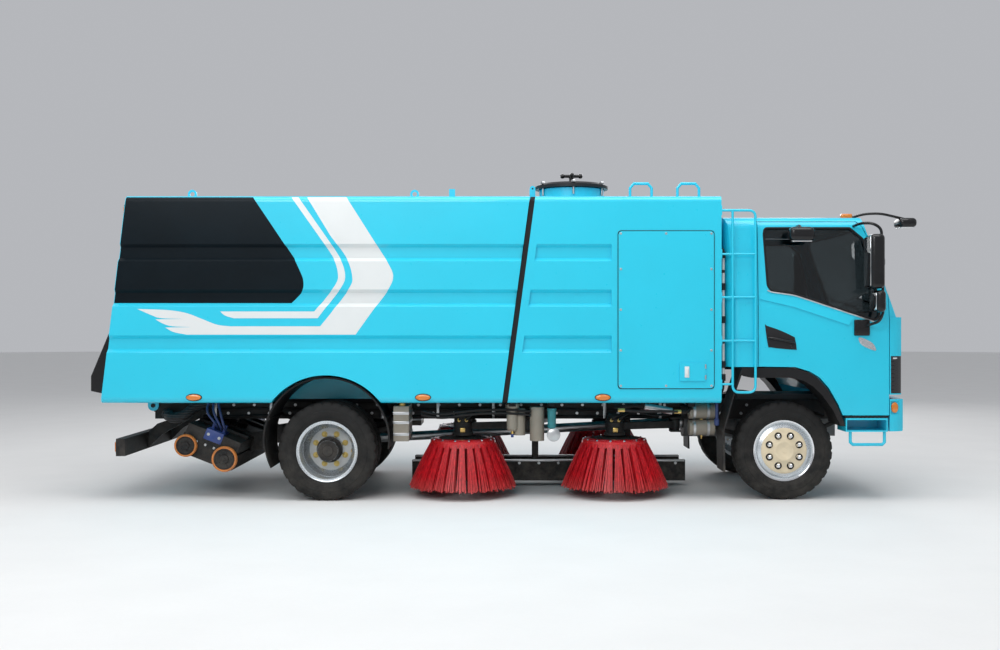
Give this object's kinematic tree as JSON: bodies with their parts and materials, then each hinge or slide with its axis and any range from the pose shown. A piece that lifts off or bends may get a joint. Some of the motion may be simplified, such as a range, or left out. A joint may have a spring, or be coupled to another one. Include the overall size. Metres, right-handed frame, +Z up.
{
  "type": "street sweeper truck",
  "caption": "Two-axle suction street sweeper with tipping waste tank, fixed water tank, tilting cab, swinging side brushes and a trailing suction nozzle.",
  "frame": {"origin": "on the ground below the middle of the vehicle's length and width, mirrors left out of the width", "axes": "+X forward, +Y to the vehicle's left, +Z up"},
  "size_m": [7.03, 2.78, 2.844],
  "materials": {
    "sky_paint": "gloss turquoise-blue coach paint",
    "chassis_paint": "satin black chassis paint, road dust",
    "black_plastic": "grained black plastic",
    "lamp_plastic": "gloss black lamp housing",
    "black_rubber": "matt black rubber",
    "tyre_rubber": "road-worn tyre rubber",
    "orange_rubber": "orange-brown solid rubber",
    "bare_steel": "bright silver steel",
    "rod_chrome": "hard chromed rod",
    "cream_paint": "cream enamel",
    "engine_iron": "grey cast iron",
    "unit_paint": "tan-grey hydraulic unit paint",
    "red_bristle": "red polypropylene bristle",
    "seat_fabric": "dark grey woven seat fabric",
    "dark_glass": "tinted glass"
  },
  "bodies": {
    "chassis": {"chassis_frame": "chassis_paint", "front_axle": "chassis_paint", "rear_axle": "chassis_paint", "leaf_springs": "chassis_paint", "engine": "engine_iron", "propshaft": "bare_steel", "water_tank": "sky_paint", "access_panels": "sky_paint", "tank_seal": "black_rubber", "ladder": "sky_paint", "bumper": "sky_paint", "steps": "sky_paint", "mudguards": "black_plastic", "underrun_bar": "chassis_paint", "brush_brackets": "chassis_paint", "centre_skirt": "black_rubber", "underfloor_units": "unit_paint", "suction_hose": "black_rubber"},
    "waste_tank": {"waste_tank": "sky_paint"},
    "rear_door": {"rear_door": "chassis_paint"},
    "hatch_lid": {"hatch_lid": "black_plastic"},
    "cab": {"cab_shell": "sky_paint", "cab_glass": "dark_glass", "seats": "seat_fabric", "dashboard": "black_plastic", "headlamps": "lamp_plastic", "look_down_mirror": "black_plastic"},
    "door_right": {"door_right": "sky_paint", "door_glass_right": "dark_glass", "mirrors_right": "black_plastic"},
    "door_left": {"door_left": "sky_paint", "door_glass_left": "dark_glass", "mirrors_left": "black_plastic"},
    "knuckle_right": {"knuckle_right": "engine_iron"},
    "knuckle_left": {"knuckle_left": "engine_iron"},
    "front_wheel_right": {"front_rim_right": "cream_paint", "front_tyre_right": "tyre_rubber"},
    "front_wheel_left": {"front_rim_left": "cream_paint", "front_tyre_left": "tyre_rubber"},
    "rear_wheels_right": {"rear_rims_right": "bare_steel", "rear_tyres_right": "tyre_rubber"},
    "rear_wheels_left": {"rear_rims_left": "bare_steel", "rear_tyres_left": "tyre_rubber"},
    "suction_nozzle": {"suction_nozzle": "chassis_paint"},
    "nozzle_front_wheels": {"nozzle_front_wheels": "orange_rubber"},
    "nozzle_rear_wheels": {"nozzle_rear_wheels": "orange_rubber"},
    "tip_barrels": {"tip_barrels": "chassis_paint"},
    "tip_rods": {"tip_rods": "rod_chrome"},
    "brush_arm_rear_right": {"arm_rear_right": "chassis_paint"},
    "brush_rear_right": {"brush_rear_right": "red_bristle"},
    "brush_arm_rear_left": {"arm_rear_left": "chassis_paint"},
    "brush_rear_left": {"brush_rear_left": "red_bristle"},
    "brush_arm_front_right": {"arm_front_right": "chassis_paint"},
    "brush_front_right": {"brush_front_right": "red_bristle"},
    "brush_arm_front_left": {"arm_front_left": "chassis_paint"},
    "brush_front_left": {"brush_front_left": "red_bristle"}
  },
  "joints": [
    {"name": "tank_tilt", "type": "hinge", "parent": "chassis", "child": "waste_tank", "pos_m": [-3.165, 0, 0.77], "axis": [0, -1, 0], "range_deg": [0, 45]},
    {"name": "rear_door_swing", "type": "hinge", "parent": "waste_tank", "child": "rear_door", "pos_m": [-3.20836, 0, 2.516], "axis": [0, 1, 0], "range_deg": [0, 80]},
    {"name": "barrel_swing", "type": "hinge", "parent": "chassis", "child": "tip_barrels", "pos_m": [-2.665, 0, 0.7], "axis": [0, -1, 0], "range_deg": [0, 57.33]},
    {"name": "rod_slide", "type": "slide", "parent": "tip_barrels", "child": "tip_rods", "axis": [0.9976, 0, 0.0691], "range_m": [0, 0.2565]},
    {"name": "hatch_swing", "type": "hinge", "parent": "chassis", "child": "hatch_lid", "pos_m": [0.247, -0.5, 2.712], "axis": [0, -1, 0], "range_deg": [0, 95]},
    {"name": "cab_tilt", "type": "hinge", "parent": "chassis", "child": "cab", "pos_m": [3.41, 0, 0.885], "axis": [0, 1, 0], "range_deg": [0, 45]},
    {"name": "door_right_swing", "type": "hinge", "parent": "cab", "child": "door_right", "pos_m": [3.25, -1.11, 1.5], "axis": [0, 0, 1], "range_deg": [0, 65]},
    {"name": "door_left_swing", "type": "hinge", "parent": "cab", "child": "door_left", "pos_m": [3.25, 1.11, 1.5], "axis": [0, 0, -1], "range_deg": [0, 65]},
    {"name": "steer_left", "type": "hinge", "parent": "chassis", "child": "knuckle_left", "pos_m": [2.385, 0.765, 0.4195], "axis": [0, 0, 1], "range_deg": [-32, 32]},
    {"name": "steer_right", "type": "hinge", "parent": "chassis", "child": "knuckle_right", "pos_m": [2.385, -0.765, 0.4195], "axis": [0, 0, 1], "range_deg": [-32, 32]},
    {"name": "front_wheel_left_spin", "type": "hinge", "parent": "knuckle_left", "child": "front_wheel_left", "pos_m": [2.385, 0.895, 0.4195], "axis": [0, 1, 0], "continuous": true},
    {"name": "front_wheel_right_spin", "type": "hinge", "parent": "knuckle_right", "child": "front_wheel_right", "pos_m": [2.385, -0.895, 0.4195], "axis": [0, 1, 0], "continuous": true},
    {"name": "rear_wheels_left_spin", "type": "hinge", "parent": "chassis", "child": "rear_wheels_left", "pos_m": [-1.515, 0.9645, 0.4195], "axis": [0, 1, 0], "continuous": true},
    {"name": "rear_wheels_right_spin", "type": "hinge", "parent": "chassis", "child": "rear_wheels_right", "pos_m": [-1.515, -0.9645, 0.4195], "axis": [0, 1, 0], "continuous": true},
    {"name": "arm_rear_right_swing", "type": "hinge", "parent": "chassis", "child": "brush_arm_rear_right", "pos_m": [0.19, -0.52, 0.605], "axis": [0, 0, 1], "range_deg": [0, 30]},
    {"name": "brush_rear_right_spin", "type": "hinge", "parent": "brush_arm_rear_right", "child": "brush_rear_right", "pos_m": [-0.37, -0.7, 0.5], "axis": [0, 0, 1], "continuous": true},
    {"name": "arm_rear_left_swing", "type": "hinge", "parent": "chassis", "child": "brush_arm_rear_left", "pos_m": [0.19, 0.52, 0.605], "axis": [0, 0, -1], "range_deg": [0, 30]},
    {"name": "brush_rear_left_spin", "type": "hinge", "parent": "brush_arm_rear_left", "child": "brush_rear_left", "pos_m": [-0.37, 0.7, 0.5], "axis": [0, 0, 1], "continuous": true},
    {"name": "arm_front_right_swing", "type": "hinge", "parent": "chassis", "child": "brush_arm_front_right", "pos_m": [1.524, -0.52, 0.605], "axis": [0, 0, 1], "range_deg": [0, 30]},
    {"name": "brush_front_right_spin", "type": "hinge", "parent": "brush_arm_front_right", "child": "brush_front_right", "pos_m": [0.964, -0.7, 0.5], "axis": [0, 0, 1], "continuous": true},
    {"name": "arm_front_left_swing", "type": "hinge", "parent": "chassis", "child": "brush_arm_front_left", "pos_m": [1.524, 0.52, 0.605], "axis": [0, 0, -1], "range_deg": [0, 30]},
    {"name": "brush_front_left_spin", "type": "hinge", "parent": "brush_arm_front_left", "child": "brush_front_left", "pos_m": [0.964, 0.7, 0.5], "axis": [0, 0, 1], "continuous": true},
    {"name": "nozzle_swing", "type": "hinge", "parent": "chassis", "child": "suction_nozzle", "pos_m": [-1.765, 0, 0.56], "axis": [0, -1, 0], "range_deg": [0, 21]},
    {"name": "nozzle_front_spin", "type": "hinge", "parent": "suction_nozzle", "child": "nozzle_front_wheels", "pos_m": [-2.41546, 0, 0.34117], "axis": [0, 1, 0], "continuous": true},
    {"name": "nozzle_rear_spin", "type": "hinge", "parent": "suction_nozzle", "child": "nozzle_rear_wheels", "pos_m": [-2.74903, 0, 0.45752], "axis": [0, 1, 0], "continuous": true}
  ],
  "couplings": [
    {"joint": "barrel_swing", "follows": "tank_tilt", "ratio": 1.2629},
    {"joint": "rod_slide", "follows": "tank_tilt", "m_per_rad": 0.3202},
    {"joint": "steer_right", "follows": "steer_left", "ratio": 1}
  ]
}
